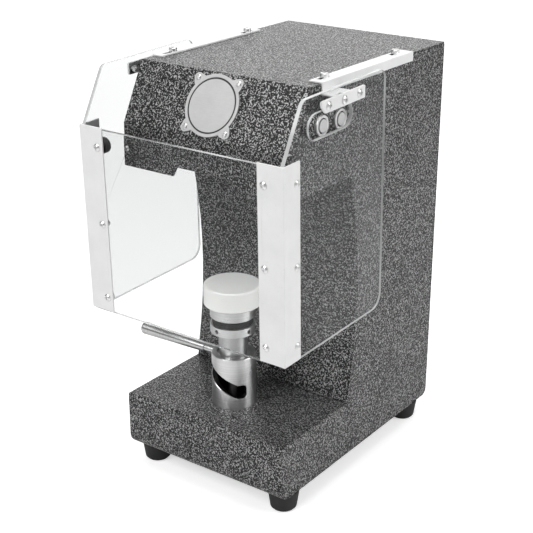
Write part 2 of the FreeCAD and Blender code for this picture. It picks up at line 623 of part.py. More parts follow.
coils = []
for s in (-1, 1):
    path = Part.makeHelix(1.9, 3.8, 10.4)
    square = Part.makePolygon([V(9.85, 0, -0.55), V(10.95, 0, -0.55), V(10.95, 0, 0.55), V(9.85, 0, 0.55), V(9.85, 0, -0.55)])
    sweep = Part.BRepOffsetAPI.MakePipeShell(Part.Wire(path.Edges))
    sweep.setBiNormalMode(V(0, 0, 1))
    sweep.add(square)
    sweep.build()
    sweep.makeSolid()
    coil = sweep.shape()
    coil.translate(V(s * S.pivot_side.value, S.pivot_depth.value, 446.7))
    coils.append(coil)
shape_node("arm_springs", Part.makeCompound(coils))

b = body("seaming_cam")
lobe = [(-21.0, 0.0, -21.0), (21.0, 0.0), (17.0, -9.0), (8.0, -15.5), (-8.0, -15.5), (-17.0, -9.0)]
sk = sketch(b, "XY_Plane", [lobe])
pad(b, sk, 7)
shaft = sketch(b, "XY_Plane", [], [(0, 0, 5.0)], offset=13)
pad(b, shaft, 26)
place(b, 0, S.cam_depth, 441.5)

cm = fused(box(-26, -24, hz + 6, 26, 30, hz + 34), rod(0, 0, hz + 34, 17, 42), box(-26, -24, hz, -20, 30, hz + 6),
           box(20, -24, hz, 26, 30, hz + 6))
cm = cut(cm, rod(0, 0, hz - 2, 5.5, 12))
place(node(cm, "cam_motor"), 0, S.cam_depth, 0)

# ---------------------------------------------------------------- rails
for label, s in (("rail_left", -1), ("rail_right", 1)):
    b = body(label)
    top, side = S.body_top, S.side
    inner = S.rail_inner + (0 if s > 0 else 3.5)
    loop = [(s * inner, top), (s * side, top), (s * side, top - S.rail_drop + 2), (s * (side + 2), top - S.rail_drop + 2),
            (s * (side + 2), top + 2), (s * inner, top + 2)]
    if s < 0:
        loop = loop[::-1]
    pad(b, sketch(b, "XZ_Plane", [loop]), S.rail_back - S.rail_front)
    my = (S.rail_back + S.rail_front) / 2
    arm = [(s * side, top - S.rail_drop), (s * S.tab_out, top - S.rail_drop), (s * S.tab_out, top - S.rail_drop + 2),
           (s * side, top - S.rail_drop + 2)]
    if s < 0:
        arm = arm[::-1]
    mid = (S.tab_front + S.tab_back) / 2
    pad(b, sketch(b, "XZ_Plane", [arm], offset=my - mid), S.tab_back - S.tab_front)
    leg = [(s * (S.tab_out - 2), 529.5), (s * S.tab_out, 529.5), (s * S.tab_out, top - S.rail_drop),
           (s * (S.tab_out - 2), top - S.rail_drop)]
    if s < 0:
        leg = leg[::-1]
    mid = (S.tab_front + S.tab_leg) / 2
    pad(b, sketch(b, "XZ_Plane", [leg], offset=my - mid), S.tab_leg - S.tab_front)
    slots = []
    mx = 116.0 if s > 0 else 119.5
    for y0 in (86.0, 248.0):
        slots.append([(s * (mx - 3), y0 - my), (s * (mx + 3), y0 - my), (s * (mx + 3), y0 + 22 - my), (s * (mx - 3), y0 + 22 - my)][::s])
    pocket(b, sketch(b, "XY_Plane", slots, offset=top + 1), 8)
    pocket(b, sketch(b, "YZ_Plane", [], [(S.pivot_y - my, S.pivot_z, S.pivot_pin)], offset=s * (S.tab_out - 1)), 8)
    place(b, 0, my, 0)

# ---------------------------------------------------------------- badge on the sloped face
alpha = math.degrees(math.atan2(S.body_top.value - S.kink_height.value, S.slope_top.value - S.head_front.value))
plate = fused(rod(0, 0, 0, 39.0, 1.6), *[rod(sx * 30.5, sy * 31.0, 0, 6.2, 1.6) for sx in (-1, 1) for sy in (-1, 1)],
              *[rod(sx * 27.0, sy * 27.5, 0, 8.6, 1.6) for sx in (-1, 1) for sy in (-1, 1)])
groove = cut(rod(0, 0, 1.1, 35.0, 2), rod(0, 0, 1.0, 33.2, 3))
plate = cut(plate, groove, *[rod(sx * 30.5, sy * 31.0, -1, 2.6, 4) for sx in (-1, 1) for sy in (-1, 1)])
mid = 0.5
node(plate, "badge_plate")
place(plate, 0, S.head_front + (S.slope_top - S.head_front) * mid, S.kink_height + (S.body_top - S.kink_height) * mid,
      (1, 0, 0), alpha)

# ---------------------------------------------------------------- control buttons on the right side
py, pz = (S.pod_front, S.pod_back), S.button_high
b = body("button_pod")
r = S.pod_radius
loop = [(py[0] + r, pz - r), (py[1] - r, pz - r, r), (py[1] - r, pz + r), (py[0] + r, pz + r, r)]
f = pad(b, sketch(b, "YZ_Plane", [loop], [(S.button_one, pz, 9.9), (S.button_two, pz, 9.9)]), S.pod_face - S.side)
rounded(b, f, 2.0, lambda p, e2, e: p.x > 4 and e2.x > 4 and not (hasattr(e.Curve, "Radius") and e.Curve.Radius < 12))
place(b, (S.pod_face + S.side) / 2, 0, 0)
bez, bod = [], []
for y in (S.button_one, S.button_two):
    bez.append(cut(fused(rod(S.pod_face, y, pz, S.bezel_radius, 3.0, "x"), rod(122, y, pz, 9.8, S.pod_face - 122, "x")),
                   rod(110, y, pz, 9.3, 60, "x")))
    bod.append(cut(rod(100, y, pz, 9.3, 44.2, "x"), rod(136.0, y, pz, 8.2, 20, "x")))
place(node(group(*bez), "button_bezels"))
place(node(group(*bod), "button_switches"))
for label, y in (("button_front", S.button_one), ("button_rear", S.button_two)):
    c = S.cap_radius
    turn(label, [(0, 0), (c, 0), (c, 7.7), (c - 0.5, 8.2), (0, 8.2)], 138.7, y, pz, (0, 1, 0), 90)

# ---------------------------------------------------------------- guard, drawn about the hinge axis
py0, pz0 = S.pivot_y, S.pivot_z
gh, gt = S.guard_half, S.guard_thick
spots = {-1: [(61.0, 539.6), (115.0, 540.0)], 1: [(50.0, 540.0), (115.0, 540.0)]}
post_z = (464.5, 363.0, 262.0)
for label, s in (("guard_side_left", -1), ("guard_side_right", 1)):
    b = body(label)
    gf, gb = -S.guard_face, S.guard_back
    loop = [(gf - py0, S.guard_low - pz0), (gb - 20 - py0, S.guard_low - pz0, 20), (gb - py0, S.guard_low + 20 - pz0),
            (gb - py0, S.guard_high - 13 - pz0, 13), (gb - 13 - py0, S.guard_high - pz0), (S.guard_brow - py0, S.guard_high - pz0, 12),
            (S.guard_brow - 8 - py0, S.guard_high - 5 - pz0), (gf - py0, S.guard_shoulder - pz0)]
    loops = [loop]
    if s > 0:
        wr, wz = S.slot_window_radius, S.slot_window_mid
        wf, wb = S.slot_window_front, S.slot_window_back
        loops.append([(wf + wr - py0, wz - wr - pz0), (wb - wr - py0, wz - wr - pz0, wr), (wb - wr - py0, wz + wr - pz0),
                      (wf + wr - py0, wz + wr - pz0, wr)])
    holes = [(0, 0, S.pivot_pin + S.pivot_play)] + [(y - py0, zz - pz0, 2.6) for y, zz in spots[s]]
    holes += [(25 - gf * -1 - 2 - py0, zz - pz0, 2.6) for zz in post_z]
    pad(b, sketch(b, "YZ_Plane", loops, holes), gt)
    guard_place(b)
    b.setExpression("Placement.Base.x", "%d * (Sheet.guard_half - Sheet.guard_thick / 2)" % s)
b = body("guard_front")
loop = [(-(gh - gt), S.guard_low - pz0), (gh - gt, S.guard_low - pz0), (gh - gt, S.guard_shoulder - pz0), (-(gh - gt), S.guard_shoulder - pz0)]
sk = sketch(b, "XZ_Plane", [loop], [(sx * 126.5, zz - pz0, 2.6) for sx in (-1, 1) for zz in post_z],
            offset=S.guard_face + py0 - gt / 2)
pad(b, sk, gt)
guard_place(b)

posts = []
for s in (-1, 1):
    x1, x0 = s * (gh + 2), s * (gh + 2 - S.post_front_leg)
    xa, xb = (x1, x0) if s < 0 else (x0, x1)
    front = box(xa, -S.guard_face - 2 - py0, S.post_low - pz0, xb, -S.guard_face - py0, S.post_high - pz0)
    xa, xb = (s * (gh + 2), s * gh) if s < 0 else (s * gh, s * (gh + 2))
    side_leg = box(xa, -S.guard_face - 2 - py0, S.post_low - pz0, xb, -S.guard_face - 2 + S.post_side_leg - py0, S.post_high - pz0)
    tools = [rod(s * 126.5, -60 - py0, zz - pz0, 2.6, 40, "y") for zz in post_z]
    tools += [rod(s * 153.5 - 10, 25 - S.guard_face - 2 - py0, zz - pz0, 2.6, 20, "x") for zz in post_z]
    posts.append(cut(fused(front, side_leg), *tools))
guard_place(node(group(*posts), "guard_posts"))


def socket_screw(length, head, tall):
    """Cylinder-head screw with a hexagon socket; the head rises along +Z from z = 0."""
    wire = Part.makePolygon([V(0, 0, -length), V(2.5, 0, -length), V(2.5, 0, 0), V(head, 0, 0), V(head, 0, tall - 0.6),
                             V(head - 0.6, 0, tall), V(0, 0, tall), V(0, 0, -length)])
    s = Part.Face(wire).revolve(V(0, 0, 0), V(0, 0, 1), 360)
    hexa = Part.makePolygon([V(2.9 * math.cos(math.radians(60 * k)), 2.9 * math.sin(math.radians(60 * k)), tall + 1) for k in range(7)])
    return s.cut(Part.Face(hexa).extrude(V(0, 0, -3.8)))


def button_screw(length, shank=2.5, head=4.9, tall=2.5):
    """Domed cross-recess screw; the head rises along +Z from z = 0, the shank runs down."""
    dome = Part.makeCylinder(head, tall * 0.35).fuse(Part.makeCone(head, head * 0.62, tall * 0.65, V(0, 0, tall * 0.35)))
    s = dome.fuse(Part.makeCylinder(shank, length, V(0, 0, -length))).removeSplitter()
    s = s.makeFillet(0.45, [e for e in s.Edges if hasattr(e.Curve, "Radius") and e.BoundBox.ZMin > 0.2 and len(e.Vertexes) == 1])
    long, wide = head * 1.04, head * 0.23
    bar = Part.makeBox(long, wide, 3, V(-long / 2, -wide / 2, tall * 0.45))
    cross = bar.fuse(Part.makeBox(wide, long, 3, V(-wide / 2, -long / 2, tall * 0.45))).removeSplitter()
    return s.cut(cross)


def aim(shape, x, y, z, direction):
    s = shape.copy()
    s.Placement = FreeCAD.Placement(V(x, y, z), FreeCAD.Rotation(V(0, 0, 1), V(*direction)))
    return s


def hex_nut(thick=4.0, across=8.0, bore=2.5):
    r = across / 2 / math.cos(math.radians(30))
    face = Part.Face(Part.makePolygon([V(r * math.cos(math.radians(60 * k)), r * math.sin(math.radians(60 * k)), 0) for k in range(7)]))
    return face.extrude(V(0, 0, thick)).cut(Part.makeCylinder(bore, thick))


gy, gz = S.pivot_y.value, S.pivot_z.value
face = -S.guard_face.value - 2
half = gh.value
screws, nuts = [], []
for s in (-1, 1):
    for zz in post_z:
        reach = 11.0
        screws.append(aim(button_screw(reach), s * (half + 2), 25 + face - gy, zz - gz, (s, 0, 0)))
        screws.append(aim(button_screw(11.0), s * 126.5, face - gy, zz - gz, (0, -1, 0)))
        nuts.append(aim(hex_nut(), s * (half - 5), 25 + face - gy, zz - gz, (-s, 0, 0)))
        if not (s < 0 and zz == post_z[0]):
            nuts.append(aim(hex_nut(), s * 126.5, -S.guard_face.value + 5 - gy, zz - gz, (0, 1, 0)))
    for y, zz in spots[s]:
        screws.append(aim(button_screw(7.6 if s > 0 else 13.0, 2.5, 5.3, 2.5), s * (half + S.plate_thick.value), y - gy, zz - gz, (s, 0, 0)))
        if s < 0:
            nuts.append(aim(hex_nut(), s * (half - 5), y - gy, zz - gz, (-s, 0, 0)))
for label, things in (("guard_screws", screws), ("guard_nuts", nuts)):
    o = node(doc.addObject("Part::Feature", "Feature_" + label), label)
    o.Shape = Part.makeCompound(things)
    guard_place(o)

plates = []
for s in (-1, 1):
    wire = [(S.plate_front.value, 547.5), (S.plate_front.value, 541.5), (44.0, 532.0), (S.plate_back.value, 532.0),
            (S.plate_back.value, 547.5)]
    if s < 0:
        wire = [(54.5, 547.5), (54.5, 532.0)] + wire[3:]
    f = Part.Face(Part.makePolygon([V(s * half, a - gy, c - gz) for a, c in wire + wire[:1]]))
    sol = f.extrude(V(s * S.plate_thick.value, 0, 0))
    for a, c in spots[s]:
        sol = sol.cut(Part.makeCylinder(2.6, 20, V(s * half - 10, a - gy, c - gz), V(1, 0, 0)))
    sol = sol.cut(Part.makeCylinder(S.pivot_pin.value + S.pivot_play.value, 20, V(s * half - 10, 0, 0), V(1, 0, 0)))
    edges = [e for e in sol.Edges if len(e.Vertexes) == 2 and abs(e.Vertexes[0].X - e.Vertexes[1].X) > 2.9 and
             not hasattr(e.Curve, "Radius") and abs(e.BoundBox.YLength) < 0.01 and
             (abs(e.Vertexes[0].Y) > 26)]
    plates.append(sol.makeFillet(2.2, edges))
o = node(doc.addObject("Part::Feature", "Feature_hinge_plates"), "hinge_plates")
o.Shape = Part.makeCompound(plates)
guard_place(o)

b = turn("guard_magnet", [(2.6, 0), (10.0, 0), (10.0, 8.8), (8.8, 10.0), (0, 10.0), (0, 4.6), (2.6, 4.6)], 0, 0, 0)
tilt = FreeCAD.Rotation(V(1, 0, 0), S.guard_tilt.value)
spot = tilt.multVec(V(-126.5, -S.guard_face.value + 5 - gy, post_z[0] - gz))
b.setExpression("Placement.Base.y", None)
b.Placement = FreeCAD.Placement(V(spot.x, spot.y + gy - S.centre_shift.value, spot.z + gz),
                                tilt.multiply(FreeCAD.Rotation(V(1, 0, 0), -90)))

# pivot bolts, fixed in the rail legs; the guard turns on their plain part
bolts = []
pp = S.pivot_pin.value
to = S.tab_out.value
for s in (-1, 1):
    wire = Part.makePolygon([V(0, 0, to - 3.6), V(2.6, 0, to - 3.6), V(3.3, 0, to - 2.9), V(3.3, 0, to - 2), V(pp, 0, to - 2), V(pp, 0, to),
                             V(7.2, 0, to), V(7.2, 0, to + 1.1), V(pp, 0, to + 1.1), V(pp, 0, half + 3.4),
                             V(5.4, 0, half + 3.4), V(5.4, 0, half + 4.6), V(3.6, 0, half + 5.8), V(0, 0, half + 5.8), V(0, 0, to - 3.6)])
    bolt = Part.Face(wire).revolve(V(0, 0, 0), V(0, 0, 1), 360)
    hexa = Part.makePolygon([V(2 * math.cos(math.radians(60 * k)), 2 * math.sin(math.radians(60 * k)), half + 8) for k in range(7)])
    bolt = bolt.cut(Part.Face(hexa).extrude(V(0, 0, -4.2)))
    bolts.append(aim(bolt, 0, gy, gz, (s, 0, 0)))
shape_node("hinge_pivots", Part.makeCompound(bolts))

# ---------------------------------------------------------------- screws of the casing
bt = S.body_top.value
things = []
for x, y in rail_screws:
    things.append(aim(socket_screw(9.0, 5.2, 5.0), x, y, bt + 2, (0, 0, 1)))
for s in (-1, 1):
    things.append(aim(button_screw(6.0, 2.0, 3.8, 2.4), s * 122.4, S.head_front.value, 449.4, (0, -1, 0)))
for x, zz in screw_spots:
    things.append(aim(button_screw(8.0), x, S.body_depth.value, zz, (0, 1, 0)))
ca, sa = math.cos(math.radians(alpha)), math.sin(math.radians(alpha))
cy = S.head_front.value + (S.slope_top.value - S.head_front.value) * mid if not hasattr(mid, "value") else 0
cy = (S.head_front.value + S.slope_top.value) / 2
cz = (S.kink_height.value + S.body_top.value) / 2
for sx in (-1, 1):
    for sy in (-1, 1):
        u, w = sy * 31.0, 1.6
        things.append(aim(button_screw(1.6, 2.5, 3.7, 1.9), sx * 30.5, cy + u * ca - w * sa, cz + u * sa + w * ca, (0, -sa, ca)))
shape_node("cover_screws", Part.makeCompound(things))

# ---------------------------------------------------------------- rear services
bd = S.body_depth
shell = fused(box(36, bd, 68, 84, bd + 2.2, 92), box(46.4, bd - 26, 70.4, 73.6, bd, 89.6))
cavity = box(48, bd - 13, 72, 72, bd + 5, 88)
earmarks = [rod(40.5, bd - 2, 80, 1.8, 8, "y"), rod(79.5, bd - 2, 80, 1.8, 8, "y")]
blades = [box(59, bd - 14, 81.5, 61, bd - 4, 85.5), box(51.5, bd - 14, 75, 53.5, bd - 4, 79), box(66.5, bd - 14, 75, 68.5, bd - 4, 79)]
place(node(fused(cut(shell, cavity, *earmarks), *blades), "mains_inlet"))
frame = fused(box(-53.5, bd, 66.5, -36.5, bd + 1.8, 93.5), box(-51.5, bd - 18, 69.2, -38.5, bd, 90.8))
frame = cut(frame, box(-49.9, bd - 8, 71.0, -40.1, bd + 4, 89.0))
place(node(frame, "power_switch"))
b = body("power_rocker")
ang = math.radians(-7)
pts = [(-3.0, -7.0), (3.0, -8.0), (1.3, 0.0), (3.0, 8.0), (-3.0, 7.0)]
pts = [(a * math.cos(ang) - c * math.sin(ang), a * math.sin(ang) + c * math.cos(ang)) for a, c in pts]
pad(b, sketch(b, "YZ_Plane", [pts]), 9.0)
place(b, -45, bd - 0.6, 80)

psu = fused(box(-66, 235, lz + 5, 34, 335, lz + 45), *[rod(x, y, lz, 4, 5) for x in (-58, 26) for y in (243, 327)])
psu = cut(psu, *[box(-50 + 12 * k, 250, lz + 43, -44 + 12 * k, 320, lz + 47) for k in range(7)])
place(node(psu, "power_supply"))
board = [box(-100.0, 205, 190, -98.4, 310, 300)]
board += [rod(-116, y, zz, 3, 16, "x") for y in (211, 304) for zz in (196, 294)]
board += [box(-98.4, 222, 250, -92, 246, 274), box(-98.4, 262, 205, -80, 300, 225), box(-98.4, 215, 205, -88, 250, 217),
          rod(-98.4, 285, 262, 8, 18, "x"), rod(-98.4, 262, 285, 5, 14, "x")]
place(node(fused(*board), "control_board"))

# ---------------------------------------------------------------- check and write
doc.recompute()
bad = []
for o in doc.Objects:
    if "Invalid" in o.State or "Error" in o.State:
        bad.append("%s (%s): %s" % (o.Name, o.Label, o.State))
labels = [o.Label for o in NODES]
if len(set(labels)) != len(labels):
    bad.append("a label is used twice")
for o in NODES:
    if o.Shape.isNull() or not o.Shape.isValid() or not o.Shape.Solids:
        bad.append("shape of %s is not usable" % o.Label)
if bad:
    raise SystemExit("\n".join(bad))
os.makedirs("parts", exist_ok=True)
for old in os.listdir("parts"):
    if old.endswith(".step") and old[:-5] not in labels:
        os.remove(os.path.join("parts", old))
whole = FreeCAD.BoundBox()
for o in NODES:
    o.Shape.exportStep("parts/%s.step" % o.Label)
    whole.add(o.Shape.BoundBox)
print("%d nodes" % len(NODES))
print("box x %.2f %.2f y %.2f %.2f z %.2f %.2f" % (whole.XMin, whole.XMax, whole.YMin, whole.YMax, whole.ZMin, whole.ZMax))
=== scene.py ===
import json
import math

import bmesh
import bpy
from mathutils import Matrix, Vector


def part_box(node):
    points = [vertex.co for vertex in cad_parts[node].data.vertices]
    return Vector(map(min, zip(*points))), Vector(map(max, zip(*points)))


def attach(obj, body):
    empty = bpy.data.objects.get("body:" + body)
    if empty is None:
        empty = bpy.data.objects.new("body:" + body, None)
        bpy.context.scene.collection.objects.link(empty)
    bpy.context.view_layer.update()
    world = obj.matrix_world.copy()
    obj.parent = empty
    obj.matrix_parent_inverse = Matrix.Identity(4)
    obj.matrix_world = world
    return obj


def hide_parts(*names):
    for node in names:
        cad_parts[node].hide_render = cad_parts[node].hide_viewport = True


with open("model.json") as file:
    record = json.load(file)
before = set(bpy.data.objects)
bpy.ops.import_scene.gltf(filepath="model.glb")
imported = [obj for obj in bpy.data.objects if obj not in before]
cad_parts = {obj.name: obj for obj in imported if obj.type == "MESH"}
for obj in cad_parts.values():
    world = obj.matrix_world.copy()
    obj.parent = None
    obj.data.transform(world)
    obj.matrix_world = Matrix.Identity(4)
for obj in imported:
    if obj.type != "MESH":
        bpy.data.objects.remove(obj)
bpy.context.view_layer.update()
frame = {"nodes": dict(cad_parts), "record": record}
NODES = frame["nodes"]
RECORD = frame["record"]
SLOT = {}
for part in RECORD["subparts"]:
    SLOT[part["node"]] = part["material_slot"]
HOME = {}
for name, members in RECORD["behaviour"]["bodies"].items():
    for member in members if isinstance(members, list) else members["nodes"]:
        HOME[member] = name


# ------------------------------------------------------------------ camera
camera = bpy.data.objects.new("camera", bpy.data.cameras.new("camera"))
bpy.context.scene.collection.objects.link(camera)
camera.data.sensor_fit = "HORIZONTAL"
camera.data.sensor_width = 36.0
camera.data.lens = 82.39
camera.data.clip_start = 0.05
camera.data.clip_end = 50.0
right = Vector((0.8072248544, 0.5902440465, 0.0))
up = Vector((-0.2217039888, 0.3032050406, 0.9267761567))
back = right.cross(up)
turn = Matrix((right, up, back)).transposed().to_4x4()
camera.matrix_world = Matrix.Translation((0.8922871, -1.2451871, 0.8883322)) @ turn
bpy.context.scene.camera = camera


# ------------------------------------------------------------------ shader helpers
class Sheet:
    """One material's node tree, with short calls for the nodes it uses."""

    def __init__(self, name):
        self.mat = bpy.data.materials.new(name)
        self.mat.use_nodes = True
        self.nt = self.mat.node_tree
        self.nt.nodes.clear()
        self.out = self.nt.nodes.new("ShaderNodeOutputMaterial")
        self.bsdf = self.nt.nodes.new("ShaderNodeBsdfPrincipled")
        self.link(self.bsdf.outputs[0], self.out.inputs["Surface"])
        self.coord = self.nt.nodes.new("ShaderNodeTexCoord").outputs["Object"]

    def link(self, a, b):
        self.nt.links.new(a, b)

    def feed(self, socket, value):
        if isinstance(value, bpy.types.NodeSocket):
            self.link(value, socket)
        else:
            socket.default_value = value

    def set(self, **values):
        for key, value in values.items():
            self.feed(self.bsdf.inputs[key.replace("_", " ")], value)

    def math(self, op, a, b=0.0, clamp=False):
        n = self.nt.nodes.new("ShaderNodeMath")
        n.operation = op
        n.use_clamp = clamp
        self.feed(n.inputs[0], a)
        self.feed(n.inputs[1], b)
        return n.outputs[0]

    def vec(self, op, a, b=(0.0, 0.0, 0.0)):
        n = self.nt.nodes.new("ShaderNodeVectorMath")
        n.operation = op
        self.feed(n.inputs[0], a)
        if op != "LENGTH":
            self.feed(n.inputs[1], b)
        return n.outputs["Value" if op in ("LENGTH", "DOT_PRODUCT") else "Vector"]

    def scaled(self, v, x, y, z):
        return self.vec("MULTIPLY", v, (x, y, z))

    def join(self, x, y, z):
        n = self.nt.nodes.new("ShaderNodeCombineXYZ")
        self.feed(n.inputs[0], x)
        self.feed(n.inputs[1], y)
        self.feed(n.inputs[2], z)
        return n.outputs[0]

    def split(self, v):
        n = self.nt.nodes.new("ShaderNodeSeparateXYZ")
        self.link(v, n.inputs[0])
        return n.outputs

    def noise(self, v, scale, detail=2.0, rough=0.5, distort=0.0, colour=False):
        n = self.nt.nodes.new("ShaderNodeTexNoise")
        self.link(v, n.inputs["Vector"])
        n.inputs["Scale"].default_value = scale
        n.inputs["Detail"].default_value = detail
        n.inputs["Roughness"].default_value = rough
        n.inputs["Distortion"].default_value = distort
        return n.outputs["Color" if colour else "Fac"]

    def cells(self, v, scale, feature="F1", smooth=0.5):
        n = self.nt.nodes.new("ShaderNodeTexVoronoi")
        n.feature = feature
        self.link(v, n.inputs["Vector"])
        n.inputs["Scale"].default_value = scale
        if feature == "SMOOTH_F1":
            n.inputs["Smoothness"].default_value = smooth
        return n.outputs["Distance"]

    def ramp(self, fac, stops, smooth=False):
        n = self.nt.nodes.new("ShaderNodeValToRGB")
        if smooth:
            n.color_ramp.interpolation = "EASE"
        e = n.color_ramp.elements
        while len(e) > 1:
            e.remove(e[-1])
        for i, (at, value) in enumerate(stops):
            item = e[0] if i == 0 else e.new(at)
            item.position = at
            item.color = (value,) * 3 + (1.0,) if isinstance(value, float) else tuple(value) + (1.0,)
        self.link(fac, n.inputs[0])
        return n.outputs[0]

    def blend(self, fac, a, b, mode="MIX"):
        n = self.nt.nodes.new("ShaderNodeMix")
        n.data_type = "RGBA"
        n.blend_type = mode
        self.feed(n.inputs[0], fac)
        self.feed(n.inputs[6], a if isinstance(a, bpy.types.NodeSocket) else tuple(a) + (1.0,))
        self.feed(n.inputs[7], b if isinstance(b, bpy.types.NodeSocket) else tuple(b) + (1.0,))
        return n.outputs[2]

    def bump(self, height, strength, distance, normal=None):
        n = self.nt.nodes.new("ShaderNodeBump")
        n.inputs["Strength"].default_value = strength
        n.inputs["Distance"].default_value = distance
        self.link(height, n.inputs["Height"])
        if normal is not None:
            self.link(normal, n.inputs["Normal"])
        return n.outputs[0]


# ------------------------------------------------------------------ materials
def hammered(name, dark=0.0012, mid=0.011, light=0.47, scale=560.0):
    """Hammered vein powder coat: bright flake cells that stand out of a dark binder."""
    s = Sheet(name)
    sway = s.noise(s.coord, 120.0, 1.0, 0.5, colour=True)
    sway = s.scaled(s.vec("SUBTRACT", sway, (0.5, 0.5, 0.5)), 0.0035, 0.0035, 0.0035)
    v = s.vec("ADD", s.coord, sway)
    worm = s.noise(v, scale, 1.2, 0.45, 0.35)
    cell = s.cells(v, scale * 0.62, "SMOOTH_F1", 0.35)
    relief = s.math("SUBTRACT", s.math("MULTIPLY", worm, 1.35), s.math("MULTIPLY", cell, 0.28))
    broad = s.noise(s.coord, 9.0, 3.0, 0.55)
    grade = s.math("ADD", relief, s.math("MULTIPLY", s.math("SUBTRACT", broad, 0.5), 0.05))
    tone = s.ramp(grade, [(0.46, dark), (0.578, mid), (0.685, light)])
    fleck = s.noise(s.coord, 1500.0, 1.0, 0.5)
    tone = s.blend(0.22, tone, s.ramp(fleck, [(0.35, 0.25), (0.65, 1.0)]), "MULTIPLY")
    s.set(Base_Color=tone, Metallic=0.35, Roughness=s.ramp(grade, [(0.38, 0.56), (0.68, 0.40)]))
    s.set(Coat_Weight=0.3, Coat_Roughness=0.30)
    s.set(Normal=s.bump(s.ramp(grade, [(0.34, 0.0), (0.70, 1.0)], True), 0.75, 0.0007))
    return s.mat


def powder(name, tone=0.70, rough=0.36, metallic=0.0):
    """Satin paint with a fine orange peel, faint mottling and rubbed patches."""
    s = Sheet(name)
    peel = s.noise(s.coord, 900.0, 2.0, 0.5)
    patch = s.noise(s.coord, 28.0, 4.0, 0.6)
    colour = s.ramp(patch, [(0.30, tone * 0.955), (0.55, tone), (0.75, min(1.0, tone * 1.03))])
    speck = s.ramp(s.noise(s.coord, 420.0, 3.0, 0.7), [(0.26, 0.80), (0.34, 1.0)])
    s.set(Base_Color=s.blend(1.0, colour, speck, "MULTIPLY"), Metallic=metallic)
    s.set(Roughness=s.ramp(patch, [(0.3, rough + 0.07), (0.7, rough - 0.05)]))
    s.set(Coat_Weight=0.12, Coat_Roughness=0.18)
    s.set(Normal=s.bump(peel, 0.18, 0.0003))
    return s.mat


def turned(name, centre, axis="z", tone=0.66, rough=0.24, pitch=5200.0, tint=(1.0, 1.0, 1.0), bore=0.0):
    """Metal turned about an axis: fine tool lines round the wall and rings on the ends, and painted shade down the
    inside of a bore when a bore radius is given.
    """
    s = Sheet(name)
    p = s.split(s.vec("SUBTRACT", s.coord, tuple(centre)))
    if axis == "z":
        a, b, along = p[0], p[1], p[2]
    elif axis == "x":
        a, b, along = p[1], p[2], p[0]
    else:
        a, b, along = p[0], p[2], p[1]
    r = s.vec("LENGTH", s.join(a, b, 0.0))
    track = s.join(r, 0.0, along)
    line = s.noise(track, pitch, 2.0, 0.6)
    coarse = s.noise(track, pitch * 0.4, 2.0, 0.55)
    smear = s.noise(s.coord, 45.0, 4.0, 0.6)
    shade = s.math("ADD", s.math("MULTIPLY", line, 0.5), s.math("MULTIPLY", coarse, 0.5))
    colour = s.ramp(shade, [(0.36, [tone * 0.80 * t for t in tint]), (0.5, [tone * t for t in tint]), (0.64, [min(1.0, tone * 1.16) * t for t in tint])])
    # Painted shade: colour multiplied down to 0.07 inside the bore radius, fading back up to 0.62 towards the top rim.
    if bore:
        bore_painted_shade = s.ramp(s.math("MULTIPLY", r, 10.0), [(bore * 10.0 - 0.006, 0.07), (bore * 10.0, 1.0)])
        painted_shade_top_fade = s.ramp(s.math("ADD", s.math("MULTIPLY", along, 10.0), 0.5), [(0.84, 0.0), (0.905, 0.62)])
        colour = s.blend(1.0, colour, s.math("MAXIMUM", bore_painted_shade, painted_shade_top_fade), "MULTIPLY")
    s.set(Base_Color=colour, Metallic=1.0)
    grain = s.math("ADD", s.math("MULTIPLY", shade, 0.16), s.math("MULTIPLY", smear, 0.26))
    s.set(Roughness=s.math("ADD", grain, rough, True))
    s.set(Normal=s.bump(shade, 0.10, 0.00003))
    around = s.nt.nodes.new("ShaderNodeTangent")
    around.direction_type = "RADIAL"
    around.axis = axis.upper()
    s.set(Anisotropic=0.72, Anisotropic_Rotation=0.25, Tangent=around.outputs[0])
    return s.mat


def plated(name, tone=0.72, rough=0.26):
    """Small plated hardware, faintly clouded and scuffed."""
    s = Sheet(name)
    cloud = s.noise(s.coord, 240.0, 4.0, 0.65)
    scuff = s.noise(s.scaled(s.coord, 1.0, 1.0, 6.0), 700.0, 3.0, 0.6, 0.6)
    s.set(Base_Color=s.ramp(cloud, [(0.3, tone * 0.82), (0.55, tone), (0.8, min(1.0, tone * 1.1))]), Metallic=1.0)
    s.set(Roughness=s.ramp(scuff, [(0.3, rough - 0.06), (0.7, rough + 0.12)]))
    s.set(Normal=s.bump(scuff, 0.16, 0.00008))
    return s.mat


def ground(name, tone=0.45, rough=0.34):
    """Ground steel with straight grinding lines and faint oil stains."""
    s = Sheet(name)
    lines = s.noise(s.scaled(s.coord, 0.05, 1.0, 1.0), 3600.0, 2.0, 0.6)
    stain = s.noise(s.coord, 60.0, 4.0, 0.6)
    s.set(Base_Color=s.blend(0.5, s.ramp(lines, [(0.3, tone * 0.75), (0.7, tone * 1.15)]), s.ramp(stain, [(0.3, tone * 0.7), (0.7, tone * 1.2)])), Metallic=1.0)
    s.set(Roughness=s.ramp(stain, [(0.3, rough + 0.1), (0.7, rough - 0.06)]))
    s.set(Normal=s.bump(lines, 0.25, 0.00006))
    return s.mat


def rubber(name, tone=0.016, rough=0.62, grain=1600.0):
    """Moulded rubber, greyer where it is dusty."""
    s = Sheet(name)
    fine = s.noise(s.coord, grain, 2.0, 0.6)
    dust = s.noise(s.coord, 70.0, 4.0, 0.65)
    s.set(Base_Color=s.ramp(dust, [(0.3, tone * 0.8), (0.55, tone * 1.3), (0.8, tone * 2.4)]))
    s.set(Roughness=s.ramp(dust, [(0.3, rough - 0.14), (0.7, rough + 0.12)]), Specular_IOR_Level=0.45)
    s.set(Normal=s.bump(fine, 0.3, 0.0001))
    return s.mat


